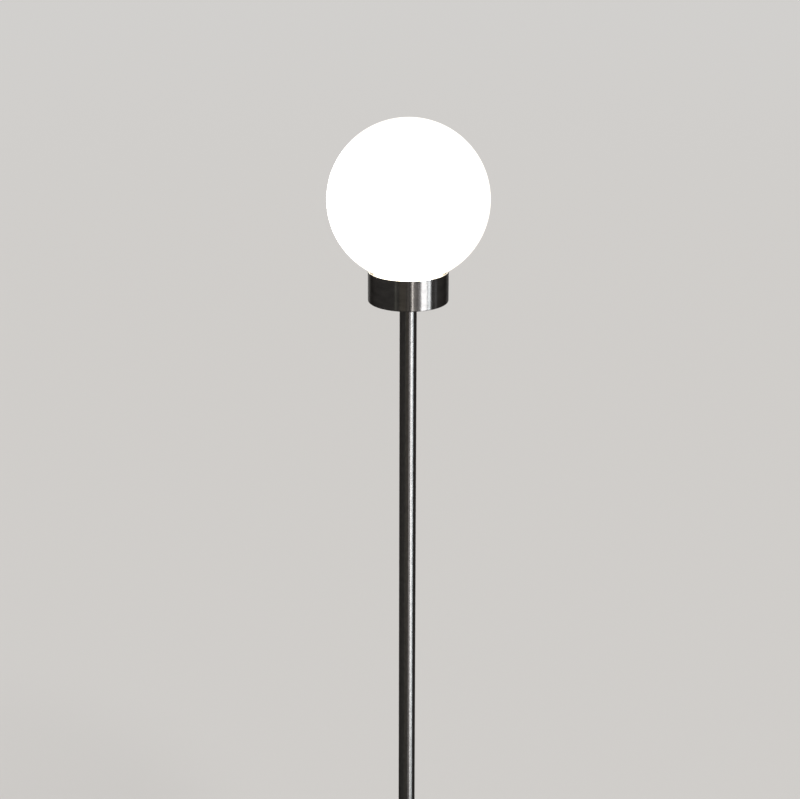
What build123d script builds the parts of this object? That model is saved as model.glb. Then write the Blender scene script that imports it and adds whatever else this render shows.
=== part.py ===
# A floor lamp with an opal glass globe. The globe's neck stands in a short steel cup on top of a
# slim steel pole, and the pole stands on a round weighted base.
# Millimetres. +Z is up, the floor is z = 0, and the lamp's axis is the Z axis.
# The mains cord enters at the back, on the +Y side.

from build123d import *
import os
from math import cos, pi, sqrt, tan

# ---------------------------------------------------------------- driving dimensions

# Glass globe, blown with its neck and lip in one wall
globe_radius = 100.0
glass_wall = 3.0
neck_fillet = 4.0            # outside, where the ball runs into the neck
neck_in_cup = 22.0           # how far the neck reaches below the cup's rim
lip_out = 1.5                # how far the lip stands out from the neck
lip_height = 4.0
lip_round = 0.7

# Cup, deep drawn from sheet
cup_radius = 49.8
cup_height = 39.0
cup_wall = 1.2
cup_edge = 1.6               # outside radius of the cup's bottom edge
sheet_round = 0.4            # on the cut edges of cup and base cover
rim_gap = 3.0                # between the ball and the cup's wall, at the rim
lip_gap = 6.1                # between the neck's lip and the cup's wall

# Pole, one seamless tube with a threaded bush in each end
pole_radius = 10.65
pole_wall = 2.0
pole_length = 1000.0
bush_length = 18.0
fit_gap = 0.1                # radial, where a turned piece sits in a bored one
overrun = 1.0                # how far a cutting body runs past the face that it opens

# Threaded tubes that tie the cup to the pole and the pole to the base, with their nuts
thread_radius = 5.0
thread_bore = 3.75
thread_gap = 0.1
thread_end_chamfer = 0.4
thread_in_bush = 15.0
thread_in_holder = 8.5
holder_floor_room = 1.5      # above the threaded tube's end, inside the lampholder
thread_past_nut = 0.8
nut_across_flats = 14.0
nut_height = 4.0
nut_land = 0.2               # how much smaller than the flats the nut's round land is
lock_washer_radius = 9.0
lock_washer_thick = 1.0

# Gallery pan that carries the glass, with its gasket, clips and rivets
pan_wall = 1.0
pan_rim_gap = 2.1            # between the pan's flange and the cup's wall
pan_bend = 1.5               # inside radius of its bends
well_room = 6.0              # round the lampholder
gasket_thick = 2.0
gasket_in = 1.4              # how far the gasket reaches inside the neck
gasket_out = 1.8             # and outside the lip
clip_count = 3
clip_first_angle = 90.0
clip_width = 8.0
clip_thick = 0.6
clip_foot = 5.5
clip_lean = 2.2              # from the heel out to the knee
clip_knee_height = 13.0
clip_tip_in = 3.0            # from the knee back in to the tip
clip_height = 19.0
clip_bend = 1.2
clip_gap = 0.3               # between a clip's knee and the neck
rivet_radius = 1.5
rivet_inset = 3.2            # of the rivet's axis from the clip's heel
rivet_head_radius = 2.4
rivet_head_height = 0.9

# Lampholder: cap, insulator, contacts, threaded shell and skirt
holder_radius = 20.0
holder_neck_radius = 9.0
holder_neck_height = 6.0
holder_shoulder = 17.0       # height at which the cap reaches its full width
holder_cap_height = 21.0
holder_wall = 2.0
holder_foot_round = 0.8
holder_neck_bend = 3.0
holder_shoulder_bend = 4.0
holder_inner_bend = 2.0
holder_step = 0.6            # from the skirt's inside to the cap's spigot
spigot_height = 4.0
insulator_wall = 1.5         # of the spigot round the insulator
insulator_height = 6.5
insulator_seat = 2.0         # how deep the insulator sits in the spigot
insulator_ledge = 1.7        # width of the ledge under it
skirt_shoulder = 0.9         # width of the skirt's shoulder on the insulator
skirt_mouth_gap = 1.2        # between the skirt's mouth and the bulb's screw cap
skirt_lip = 2.0
skirt_round = 2.0
skirt_mouth_round = 0.5
flute_count = 24             # grip flutes round the skirt
flute_radius = 1.2
flute_depth = 0.7
flute_end = 5.0              # from a flute's upper end to the skirt's mouth
socket_height = 23.5
socket_wall = 0.45
socket_floor = 0.5
socket_floor_radius = 10.5   # of the hole in the threaded shell's floor
contact_rise = 2.5
contact_width = 6.0
contact_thick = 0.5
contact_bend = 0.5
contact_tongue = 2.0         # half of the level tongue under the bulb's tip
contact_leg = 1.6            # how far its slope runs out
terminal_radius = 2.3
terminal_height = 4.5
terminal_spread = 6.0        # of each terminal from the axis
stem_radius = 1.1
stem_cover = 2.0             # how far contact and tab reach past a stem's axis
tab_width = 5.0              # of the threaded shell's tab

# Bulb
bulb_radius = 30.0
bulb_length = 108.0
screw_cap_radius = 12.75
screw_cap_length = 27.0      # from the tip to the bulb's neck
screw_cap_wall = 0.5
screw_cap_low = 4.4          # of its lower edge above the tip
socket_gap = 0.3             # radial, between screw cap and threaded shell
bulb_seat_gap = 1.0          # between the bulb's neck and the skirt's mouth
tip_radius = 4.8
tip_height = 1.2
glass_plug_radius = 6.2      # of the insulator's lower face
glass_plug_height = 4.5
collar_out = 0.65            # of the collar's neck beyond the screw cap
collar_neck_height = 3.0
collar_height = 39.0
collar_plug = 7.0            # how far the collar reaches into the screw cap
collar_wall = 1.6
collar_bend = 12.0
envelope_wall = 1.0
board_gap = 0.8              # radial, between the board of diodes and the envelope
board_thick = 1.6

# Base: steel cover over an iron weight, on a thin pad
base_radius = 137.5
base_height = 25.0
cover_wall = 1.2
cover_edge = 4.0
cover_lift = 0.8             # of the cover's lower edge above the floor
weight_gap = 0.3             # radial, between weight and cover
weight_edge = 3.5
weight_lower_edge = 1.0
centre_hole_gap = 0.3
pad_thick = 2.0
pad_inset = 2.5
pocket_room = 4.0            # between the terminal block and the pocket's wall
pocket_corner = 9.0
pocket_roof = 6.0            # iron left above the pocket
base_washer_radius = 16.0
base_washer_thick = 2.0

# Inlet for the mains cord
inlet_radius = 3.3
cord_level = 9.0
grommet_radius = 5.0
grommet_flange_radius = 6.5
grommet_flange_in = 1.6
grommet_flange_out = 1.2
channel_width = 10.0
channel_height = 13.0
flange_room = 1.0            # round the grommet's inner flange, in the weight

# Terminal block inside the base
block_width = 25.0
block_depth = 16.0
block_height = 14.0
block_distance = 20.0        # of its near face from the lamp's axis
block_round = 1.2
block_groove_width = 1.2
block_groove_depth = 1.6
way_count = 3
way_pitch = 8.0
way_radius = 1.35
way_level = 3.0              # of the ways above the block's lower face
clamp_screw_radius = 1.5
clamp_screw_gap = 0.2
clamp_screw_sunk = 0.4
clamp_screw_spread = 4.5     # of the screws from the block's middle
fixing_radius = 1.3
fixing_head_radius = 2.1
fixing_head_height = 1.6
fixing_depth = 4.0           # in the iron
fixing_gap = 0.1
fixing_room = 0.5            # of each blind hole beyond its screw

# Earth tag on the iron
tag_room = 3.8               # between the tag and the pocket's wall
tag_y = 7.0
tag_radius = 4.2
tag_thick = 0.8
tag_barrel_radius = 1.7
tag_barrel_start = 3.8
tag_barrel_length = 6.0
tag_grip = 4.5               # how far the wire reaches into the barrel
earth_screw_radius = 2.0
earth_screw_head_radius = 3.6
earth_screw_head_height = 2.4

# Inner lead and the cores that leave it
lead_radius = 2.9
lead_past_thread = 0.5       # below the lower threaded tube
lead_in_holder = 1.7         # above the upper one
core_radius = 1.0
core_spread = 1.15           # of each core from the lead's axis
core_grip = 6.0              # how far a core reaches into the block
core_bend_base = 3.2
core_bend_side = 8.0
core_bend_holder = 4.0
core_run = 2.2               # straight run at each end inside the lampholder
link_bend = 6.0
link_turn = 2.0              # how far behind the tag's line the earth wire turns
link_lead = 4.0              # straight run before the tag's barrel

# ---------------------------------------------------------------- levels and radii that follow

weight_top = base_height - cover_wall
weight_radius = base_radius - cover_wall - weight_gap
pocket_level = weight_top - pocket_roof
pocket_half = block_distance + block_depth + pocket_room
tag_x = tag_room + tag_radius - pocket_half
base_washer_level = pocket_level - base_washer_thick
base_nut_level = base_washer_level - nut_height
base_thread_end = base_nut_level - thread_past_nut
lead_low = base_thread_end - lead_past_thread

cup_bottom = base_height + pole_length
cup_floor = cup_bottom + cup_wall
cup_rim = cup_bottom + cup_height
cup_inside = cup_radius - cup_wall
pole_inside = pole_radius - pole_wall
thread_hole = thread_radius + thread_gap

lip_radius = cup_inside - lip_gap
neck_radius = lip_radius - lip_out
neck_inside = neck_radius - glass_wall
neck_bottom = cup_rim - neck_in_cup
globe_centre = cup_rim + sqrt(globe_radius**2 - (cup_inside - rim_gap) ** 2)

gasket_bottom = neck_bottom - gasket_thick
lock_washer_level = cup_floor + pan_wall
cup_nut_level = lock_washer_level + lock_washer_thick
holder_bottom = cup_nut_level + nut_height
well_radius = holder_radius + well_room
clip_heel = neck_inside - clip_gap - clip_lean
rivet_distance = clip_heel - rivet_inset

skirt_bottom = holder_bottom + holder_cap_height
spigot_top = skirt_bottom + spigot_height
spigot_radius = holder_radius - holder_wall - holder_step
insulator_radius = spigot_radius - insulator_wall
insulator_bottom = spigot_top - insulator_seat
insulator_top = insulator_bottom + insulator_height
terminal_bottom = insulator_bottom - terminal_height
lead_top = holder_bottom + thread_in_holder + lead_in_holder

tip_level = insulator_top + contact_rise
bulb_neck = tip_level + screw_cap_length
holder_top = bulb_neck - bulb_seat_gap
skirt_inside = insulator_radius - skirt_shoulder
collar_top = bulb_neck + collar_height
bulb_centre = tip_level + bulb_length - bulb_radius
collar_mouth = sqrt(bulb_radius**2 - (bulb_centre - collar_top) ** 2)

block_bottom = pocket_level - block_height
wire_level = block_bottom + way_level
block_middle = block_distance + block_depth / 2
barrel_level = pocket_level - tag_barrel_radius


# ---------------------------------------------------------------- building blocks

def turned(outline):
    """A closed outline of radius and height, turned about the lamp's axis."""
    return revolve(Plane.XZ * make_face(outline), axis=Axis.Z)


def ring(outer, inner, low, high):
    """A plain ring or washer on the lamp's axis."""
    return turned(Polyline((inner, low), (outer, low), (outer, high), (inner, high), close=True))


def bar(radius, low, high, x=0.0, y=0.0):
    """A round bar, or the space of a round hole, that stands at x, y."""
    standing = (Align.CENTER, Align.CENTER, Align.MIN)
    return Pos(x, y, low) * Cylinder(radius, high - low, align=standing)


def cross_bar(radius, start, end, x, level):
    """A round bar, or the space of a round hole, that lies along Y."""
    middle = Pos(x, (start + end) / 2, level)
    return middle * Rot(90, 0, 0) * Cylinder(radius, abs(end - start))


def threaded_tube(low, high):
    """A hollow threaded tube with its ends chamfered."""
    c = thread_end_chamfer
    return turned(Polyline(
        (thread_bore, low), (thread_radius - c, low), (thread_radius, low + c),
        (thread_radius, high - c), (thread_radius - c, high), (thread_bore, high),
        close=True,
    ))


def hexagon_nut(low):
    """A thin hexagon nut on the lamp's axis, with the corners of both faces turned off."""
    high = low + nut_height
    corner = nut_across_flats / 2 / cos(pi / 6)
    land = nut_across_flats / 2 - nut_land
    drop = (corner - land) * tan(pi / 6)
    blank = extrude(Pos(0, 0, low) * RegularPolygon(corner, 6), nut_height)
    shaped = turned(Polyline(
        (thread_hole, low), (land, low), (corner, low + drop),
        (corner, high - drop), (land, high), (thread_hole, high), close=True,
    ))
    return blank & shaped


def wire(radius, bends, *points):
    """A round wire along straight runs joined by arcs."""
    path = FilletPolyline(*points, radius=bends)
    return sweep(Plane(path @ 0, z_dir=path % 0) * Circle(radius), path=path)


def bent_strip(thick, width, bends, *points):
    """Sheet bent along points of distance and height, above its line, as wide as width in Y."""
    edge = make_face(offset(FilletPolyline(*points, radius=bends), amount=thick, side=Side.LEFT))
    return extrude(Plane.XZ * edge, width / 2, both=True)


def around(count, first_angle, piece):
    """Copies of a piece, evenly spaced about the lamp's axis."""
    return [Rot(0, 0, first_angle + 360 / count * i) * piece for i in range(count)]


# ---------------------------------------------------------------- glass and cup

def blown_half(ball, neck, fillet_radius):
    """Half of the section through a ball on a straight neck, rounded where the two meet."""
    height = globe_centre + globe_radius - neck_bottom
    standing = (Align.CENTER, Align.MIN)
    outline = Pos(0, globe_centre) * Circle(ball)
    outline += Pos(0, neck_bottom) * Rectangle(2 * neck, height / 2, align=standing)
    meet = outline.vertices().filter_by(lambda v: neck_bottom < v.Y < globe_centre)
    outline = fillet(meet.sort_by(Axis.Y)[-2:], fillet_radius)
    return outline & Pos(0, neck_bottom) * Rectangle(2 * ball, height, align=(Align.MIN, Align.MIN))


def glass_globe():
    """Ball, neck and lip, blown in one even wall, with the neck's lower edge ground flat."""
    outside = blown_half(globe_radius, neck_radius, neck_fillet)
    lip = Pos(0, neck_bottom) * Rectangle(lip_radius, lip_height, align=(Align.MIN, Align.MIN))
    outside += fillet(lip.vertices().group_by(Axis.X)[-1], lip_round)
    inside = blown_half(globe_radius - glass_wall, neck_inside, neck_fillet + glass_wall)
    return revolve(Plane.XZ * (outside - inside), axis=Axis.Z)


def cup():
    """Short round cup with a flat floor, a rounded bottom edge and a softened rim."""
    outline = FilletPolyline(
        (thread_hole, cup_bottom), (cup_radius, cup_bottom), (cup_radius, cup_rim),
        (cup_inside, cup_rim), (cup_inside, cup_floor), (thread_hole, cup_floor),
        radius=(0, cup_edge, sheet_round, sheet_round, cup_edge - cup_wall, 0), close=True,
    )
    return turned(outline)


def gallery_pan():
    """Pressed pan: a floor clamped in the cup, a well round the lampholder and a flat flange."""
    flange_level = gasket_bottom - pan_wall
    line = FilletPolyline(
        (thread_hole, cup_floor), (well_radius, cup_floor), (well_radius, flange_level),
        (cup_inside - pan_rim_gap, flange_level), radius=(pan_bend + pan_wall, pan_bend),
    )
    pan = turned(offset(line, amount=pan_wall, side=Side.LEFT))
    hole = bar(
        rivet_radius + fit_gap, flange_level - overrun, gasket_bottom + overrun, x=rivet_distance
    )
    for cut in around(clip_count, clip_first_angle, hole):
        pan -= cut
    return pan


def neck_gasket():
    """Soft flat ring between the pan's flange and the neck."""
    return ring(lip_radius + gasket_out, neck_inside - gasket_in, gasket_bottom, neck_bottom)


def globe_clips():
    """Spring clips whose knees bear on the inside of the neck."""
    clip = bent_strip(
        clip_thick, clip_width, clip_bend,
        (clip_heel - clip_foot, gasket_bottom), (clip_heel, gasket_bottom),
        (clip_heel + clip_lean, gasket_bottom + clip_knee_height),
        (clip_heel + clip_lean - clip_tip_in, gasket_bottom + clip_height),
    )
    low, high = gasket_bottom - overrun, gasket_bottom + clip_thick + overrun
    clip -= bar(rivet_radius + fit_gap, low, high, x=rivet_distance)
    return Compound(around(clip_count, clip_first_angle, clip))


def clip_rivets():
    """One rivet through each clip's foot and the flange, headed on both sides."""
    low = gasket_bottom - pan_wall
    high = gasket_bottom + clip_thick
    rivet = bar(rivet_radius, low, high, x=rivet_distance)
    rivet += bar(rivet_head_radius, low - rivet_head_height, low, x=rivet_distance)
    rivet += bar(rivet_head_radius, high, high + rivet_head_height, x=rivet_distance)
    head_edges = rivet.edges().filter_by(GeomType.CIRCLE).sort_by(Axis.Z)
    rivet = chamfer([head_edges[0], head_edges[-1]], rivet_head_height / 2)
    return Compound(around(clip_count, clip_first_angle, rivet))


# ---------------------------------------------------------------- pole and threaded tubes

def pole():
    return ring(pole_radius, pole_inside, base_height, cup_bottom)


def pole_bush(low):
    """Threaded bush pressed into an end of the pole."""
    return ring(pole_inside - fit_gap, thread_hole, low, low + bush_length)


def top_threaded_tube():
    return threaded_tube(cup_bottom - thread_in_bush, holder_bottom + thread_in_holder)


def base_threaded_tube():
    return threaded_tube(base_thread_end, base_height + thread_in_bush)


def lock_washer():
    return ring(lock_washer_radius, thread_hole, lock_washer_level, cup_nut_level)


def base_washer():
    return ring(base_washer_radius, thread_hole, base_washer_level, pocket_level)


# ---------------------------------------------------------------- lampholder

def holder_cap():
    """Lower half of the lampholder: threaded neck, flared shoulder and a spigot for the skirt."""
    floor = holder_bottom + thread_in_holder + holder_floor_room
    inside_neck = holder_neck_radius - holder_wall
    ledge = insulator_radius - insulator_ledge
    outline = FilletPolyline(
        (thread_hole, holder_bottom), (holder_neck_radius, holder_bottom),
        (holder_neck_radius, holder_bottom + holder_neck_height),
        (holder_radius, holder_bottom + holder_shoulder), (holder_radius, skirt_bottom),
        (spigot_radius, skirt_bottom), (spigot_radius, spigot_top),
        (insulator_radius + fit_gap, spigot_top), (insulator_radius + fit_gap, insulator_bottom),
        (ledge, insulator_bottom), (ledge, skirt_bottom - holder_wall),
        (inside_neck, floor), (thread_hole, floor),
        radius=(
            0, holder_foot_round, holder_neck_bend, holder_shoulder_bend,
            0, 0, 0, 0, 0, 0, holder_inner_bend, 0, 0,
        ),
        close=True,
    )
    return turned(outline)


def holder_insulator():
    """Round insulator with a hole for each terminal's stem."""
    insulator = bar(insulator_radius, insulator_bottom, insulator_top)
    for side in (-1, 1):
        insulator -= bar(
            stem_radius + fit_gap, insulator_bottom - overrun, insulator_top + overrun,
            x=side * terminal_spread,
        )
    return insulator


def holder_terminals():
    """Two posts under the insulator that take the cores, each with a stem up through it."""
    posts = []
    for x in (-terminal_spread, terminal_spread):
        post = bar(terminal_radius, terminal_bottom, insulator_bottom, x=x)
        posts.append(post + bar(stem_radius, insulator_bottom, insulator_top, x=x))
    return Compound(posts)


def centre_contact():
    """Sprung brass tongue under the bulb's tip. Its foot lies on one terminal's stem."""
    high = tip_level - contact_thick
    return bent_strip(
        contact_thick, contact_width, contact_bend,
        (-contact_tongue, high), (contact_tongue, high),
        (contact_tongue + contact_leg, insulator_top), (terminal_spread + stem_cover, insulator_top),
    )


def socket_shell():
    """Threaded metal shell. Its floor rests on the insulator, with a tab to the other stem."""
    inside = screw_cap_radius + socket_gap
    top = insulator_top + socket_height
    floor = insulator_top + socket_floor
    shell = turned(Polyline(
        (socket_floor_radius, insulator_top), (inside + socket_wall, insulator_top),
        (inside + socket_wall, top), (inside, top), (inside, floor),
        (socket_floor_radius, floor), close=True,
    ))
    tab_length = inside - terminal_spread + stem_cover
    tab = Box(tab_length, tab_width, socket_floor, align=(Align.MIN, Align.CENTER, Align.MIN))
    return shell + Pos(-inside, 0, insulator_top) * tab


def holder_skirt():
    """Upper half of the lampholder, with grip flutes. Its shoulder holds the insulator down."""
    mouth = screw_cap_radius + skirt_mouth_gap
    over_spigot = spigot_radius + fit_gap
    outline = FilletPolyline(
        (over_spigot, skirt_bottom), (holder_radius, skirt_bottom), (holder_radius, holder_top),
        (mouth, holder_top), (mouth, holder_top - skirt_lip),
        (skirt_inside, holder_top - skirt_lip), (skirt_inside, insulator_top),
        (over_spigot, insulator_top),
        radius=(0, 0, skirt_round, skirt_mouth_round, 0, 0, 0, 0), close=True,
    )
    flute = bar(
        flute_radius, insulator_top, holder_top - flute_end,
        x=holder_radius + flute_radius - flute_depth,
    )
    return turned(outline) - around(flute_count, 0, flute)


# ---------------------------------------------------------------- bulb

def bulb_tip():
    """Centre contact of the bulb, with a flat that rests on the holder's contact."""
    high = tip_level + tip_height
    return turned(Polyline(
        (0, tip_level), (tip_radius - tip_height, tip_level),
        (tip_radius, (tip_level + high) / 2), (tip_radius, high), (0, high), close=True,
    ))


def bulb_insulator():
    """Glass plug between the tip and the screw cap."""
    low = tip_level + tip_height
    wide = screw_cap_radius - screw_cap_wall - fit_gap
    return turned(Polyline(
        (0, low), (glass_plug_radius, low), (wide, tip_level + screw_cap_low),
        (wide, low + glass_plug_height), (0, low + glass_plug_height), close=True,
    ))


def bulb_screw_cap():
    inside = screw_cap_radius - screw_cap_wall
    return ring(screw_cap_radius, inside, tip_level + screw_cap_low, bulb_neck)


def bulb_collar():
    """Hollow housing between screw cap and envelope, closed at the top by a plate."""
    neck = screw_cap_radius + collar_out
    plug = screw_cap_radius - screw_cap_wall - fit_gap
    plate = collar_top - collar_wall
    bend_level = bulb_neck + collar_neck_height
    outline = FilletPolyline(
        (0, plate), (collar_mouth - 2 * collar_wall, plate), (neck - collar_wall, bend_level),
        (neck - 2 * collar_wall, bulb_neck), (neck - 2 * collar_wall, bulb_neck - collar_plug),
        (plug, bulb_neck - collar_plug), (plug, bulb_neck), (neck, bulb_neck), (neck, bend_level),
        (collar_mouth, collar_top), (0, collar_top),
        radius=(0, 0, 0, 0, 0, 0, 0, 0, collar_bend, 0, 0), close=True,
    )
    return turned(outline)


def bulb_board():
    """Round board that carries the light-emitting diodes, on the collar's plate."""
    return bar(collar_mouth - envelope_wall - 2 * board_gap, collar_top, collar_top + board_thick)


def bulb_envelope():
    """Thin opal dome on the collar."""
    inner = bulb_radius - envelope_wall
    inner_mouth = sqrt(inner**2 - (bulb_centre - collar_top) ** 2)
    top, inner_top = (0, bulb_centre + bulb_radius), (0, bulb_centre + inner)
    outline = Curve() + [
        ThreePointArc((collar_mouth, collar_top), (bulb_radius, bulb_centre), top),
        Line(top, inner_top),
        ThreePointArc(inner_top, (inner, bulb_centre), (inner_mouth, collar_top)),
        Line((inner_mouth, collar_top), (collar_mouth, collar_top)),
    ]
    return turned(outline)


# ---------------------------------------------------------------- base

def base_cover():
    """Spun steel cover with a rounded upper edge and a hole for the grommet."""
    inside = base_radius - cover_wall
    outline = FilletPolyline(
        (thread_hole, weight_top), (inside, weight_top), (inside, cover_lift),
        (base_radius, cover_lift), (base_radius, base_height), (thread_hole, base_height),
        radius=(0, cover_edge - cover_wall, sheet_round, sheet_round, cover_edge, 0), close=True,
    )
    near, far = inside - grommet_flange_in, base_radius + overrun
    return turned(outline) - cross_bar(grommet_radius + fit_gap, near, far, 0, cord_level)


def base_weight():
    """Cast iron disc, open below at a pocket, a channel for the cord and a recess at its end."""
    centre_hole = thread_radius + centre_hole_gap
    weight = turned(FilletPolyline(
        (centre_hole, pad_thick), (weight_radius, pad_thick),
        (weight_radius, weight_top), (centre_hole, weight_top),
        radius=(0, weight_lower_edge, weight_edge, 0), close=True,
    ))
    below = Plane.XY.offset(pad_thick - overrun)
    pocket = RectangleRounded(2 * pocket_half, 2 * pocket_half, pocket_corner)
    weight -= extrude(below * pocket, pocket_level - pad_thick + overrun)
    outward = (Align.CENTER, Align.MIN, Align.MIN)
    weight -= below * Box(channel_width, base_radius, channel_height + overrun, align=outward)
    recess_half = grommet_flange_radius + flange_room
    recess_start = base_radius - cover_wall - grommet_flange_in - 2 * flange_room
    recess_height = cord_level + recess_half - pad_thick + overrun
    recess = Box(2 * recess_half, base_radius - recess_start, recess_height, align=outward)
    weight -= below * Pos(0, recess_start, 0) * recess
    low, high = pocket_level - overrun, pocket_level + fixing_depth + fixing_room
    for x in block_screw_places():
        weight -= bar(fixing_radius + fit_gap, low, high, x, block_middle)
    return weight - bar(earth_screw_radius + fit_gap, low, high, tag_x, tag_y)


def floor_pad():
    """Soft pad under the iron, which the lamp stands on."""
    return bar(weight_radius - pad_inset, 0, pad_thick)


def cord_grommet():
    """Rubber grommet in the cover's hole, flanged inside and outside, bored for the cord."""
    inner = sqrt((base_radius - cover_wall) ** 2 - grommet_flange_radius**2) - fit_gap
    start, end = inner - grommet_flange_in, base_radius + grommet_flange_out
    grommet = cross_bar(grommet_radius, start, end, 0, cord_level)
    grommet += cross_bar(grommet_flange_radius, start, inner, 0, cord_level)
    grommet += cross_bar(grommet_flange_radius, base_radius, end, 0, cord_level)
    rim = grommet.edges().filter_by(GeomType.CIRCLE).sort_by(Axis.Y)[-1]
    grommet = fillet(rim, grommet_flange_out / 2)
    return grommet - cross_bar(inlet_radius, start - overrun, end + overrun, 0, cord_level)


# ---------------------------------------------------------------- connections in the base

def way_places():
    """X of each way of the terminal block."""
    return [way_pitch * (i - (way_count - 1) / 2) for i in range(way_count)]


def block_screw_places():
    """X of the fixing screws, one between each two ways."""
    return [(a + b) / 2 for a, b in zip(way_places(), way_places()[1:])]


def terminal_block():
    """Moulded block of three ways, with wells for its screws and grooves between the ways."""
    standing = (Align.CENTER, Align.CENTER, Align.MIN)
    block = Pos(0, block_middle, block_bottom) * Box(
        block_width, block_depth, block_height, align=standing
    )
    block = fillet(block.edges().filter_by(Axis.Y).group_by(Axis.Z)[0], block_round)
    far = block_distance + block_depth
    low, sunk = block_bottom - overrun, block_bottom + fixing_head_height + fixing_gap
    for x in way_places():
        block -= cross_bar(way_radius, block_distance - overrun, far + overrun, x, wire_level)
        for side in (-1, 1):
            y = block_middle + side * clamp_screw_spread
            block -= bar(clamp_screw_radius + clamp_screw_gap, low, wire_level, x, y)
    groove = Box(block_groove_width, 2 * block_groove_depth, 2 * block_height)
    for x in block_screw_places():
        for y in (block_distance, far):
            block -= Pos(x, y, block_bottom) * groove
        block -= bar(fixing_radius + fixing_gap, low, pocket_level + overrun, x, block_middle)
        block -= bar(fixing_head_radius + fixing_gap, low, sunk, x, block_middle)
    return block


def clamp_screws():
    """Two screws in each way of the block, each just short of the core above it."""
    low = block_bottom + clamp_screw_sunk
    high = wire_level - core_radius - clamp_screw_gap / 2
    screws = [
        bar(clamp_screw_radius, low, high, x, block_middle + side * clamp_screw_spread)
        for x in way_places() for side in (-1, 1)
    ]
    return Compound(screws)


def block_screws():
    """Screws that hold the block up against the iron."""
    screws = []
    for x in block_screw_places():
        head_top = block_bottom + fixing_head_height + fixing_gap
        screw = bar(fixing_head_radius, head_top - fixing_head_height, head_top, x, block_middle)
        screws.append(screw + bar(fixing_radius, head_top, pocket_level + fixing_depth, x, block_middle))
    return Compound(screws)


def earth_tag():
    """Ring tag with a crimped barrel that points at the terminal block."""
    low = pocket_level - tag_thick
    tag = bar(tag_radius, low, pocket_level, tag_x, tag_y)
    barrel = Plane((tag_x + tag_barrel_start, tag_y, barrel_level), z_dir=(1, 0, 0))
    tag += extrude(barrel * Circle(tag_barrel_radius), tag_barrel_length)
    bore = extrude(barrel * Circle(core_radius + fit_gap), tag_grip + overrun)
    tag -= Pos(tag_barrel_length - tag_grip, 0, 0) * bore
    hole = earth_screw_radius + fit_gap
    return tag - bar(hole, low - overrun, pocket_level + overrun, tag_x, tag_y)


def earth_screw():
    head_top = pocket_level - tag_thick
    screw = bar(earth_screw_head_radius, head_top - earth_screw_head_height, head_top, tag_x, tag_y)
    return screw + bar(earth_screw_radius, head_top, pocket_level + fixing_depth, tag_x, tag_y)


# ---------------------------------------------------------------- wiring

def inner_lead():
    """Sheathed lead that runs straight up inside the pole."""
    return bar(lead_radius, lead_low, lead_top)


def base_cores():
    """The lead's two cores, from its lower end to two ways of the terminal block."""
    middle, right = way_places()[1:]
    end = block_distance + core_grip
    cores = []
    for start, way in ((-core_spread, middle), (core_spread, right)):
        cores.append(wire(
            core_radius, (core_bend_base, core_bend_side),
            (start, 0, lead_low), (start, 0, wire_level),
            (way, block_distance - core_grip, wire_level), (way, end, wire_level),
        ))
    return Compound(cores)


def earth_link():
    """Wire from the block's earth way to the tag on the iron."""
    left = way_places()[0]
    barrel_mouth = tag_x + tag_barrel_start + tag_barrel_length
    return wire(
        core_radius, (link_bend, link_bend),
        (left, block_distance + core_grip, wire_level), (left, tag_y + link_turn, wire_level),
        (barrel_mouth + link_lead, tag_y, barrel_level),
        (barrel_mouth - tag_grip, tag_y, barrel_level),
    )


def holder_cores():
    """The lead's two cores, from its upper end to the lampholder's terminals."""
    cores = []
    for side in (-1, 1):
        near, out = side * core_spread, side * terminal_spread
        cores.append(wire(
            core_radius, core_bend_holder,
            (near, 0, lead_top), (near, 0, lead_top + core_run),
            (out, 0, terminal_bottom - core_run), (out, 0, terminal_bottom),
        ))
    return Compound(cores)


# ---------------------------------------------------------------- all pieces

pieces = {
    "glass_globe": glass_globe(),
    "cup": cup(),
    "gallery_pan": gallery_pan(),
    "neck_gasket": neck_gasket(),
    "globe_clips": globe_clips(),
    "clip_rivets": clip_rivets(),
    "lock_washer": lock_washer(),
    "cup_nut": hexagon_nut(cup_nut_level),
    "top_threaded_tube": top_threaded_tube(),
    "pole": pole(),
    "pole_top_bush": pole_bush(cup_bottom - bush_length),
    "pole_bottom_bush": pole_bush(base_height),
    "base_threaded_tube": base_threaded_tube(),
    "base_washer": base_washer(),
    "base_nut": hexagon_nut(base_nut_level),
    "base_cover": base_cover(),
    "base_weight": base_weight(),
    "floor_pad": floor_pad(),
    "cord_grommet": cord_grommet(),
    "terminal_block": terminal_block(),
    "clamp_screws": clamp_screws(),
    "block_screws": block_screws(),
    "earth_tag": earth_tag(),
    "earth_screw": earth_screw(),
    "earth_link": earth_link(),
    "base_cores": base_cores(),
    "inner_lead": inner_lead(),
    "holder_cores": holder_cores(),
    "holder_cap": holder_cap(),
    "holder_insulator": holder_insulator(),
    "holder_terminals": holder_terminals(),
    "centre_contact": centre_contact(),
    "socket_shell": socket_shell(),
    "holder_skirt": holder_skirt(),
    "bulb_tip": bulb_tip(),
    "bulb_insulator": bulb_insulator(),
    "bulb_screw_cap": bulb_screw_cap(),
    "bulb_collar": bulb_collar(),
    "bulb_board": bulb_board(),
    "bulb_envelope": bulb_envelope(),
}

os.makedirs("parts", exist_ok=True)
for name, piece in pieces.items():
    export_step(piece, f"parts/{name}.step")
print("globe centre", round(globe_centre, 2), "top", round(globe_centre + globe_radius, 2))
print("bulb from", round(tip_level, 2), "to", round(tip_level + bulb_length, 2))
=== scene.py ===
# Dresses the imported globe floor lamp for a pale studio.
# Metres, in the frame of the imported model: +Z up, the lamp's axis on Z, the floor at z = 0.

import math

import bmesh
import bpy
from mathutils import Matrix, Vector


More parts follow.
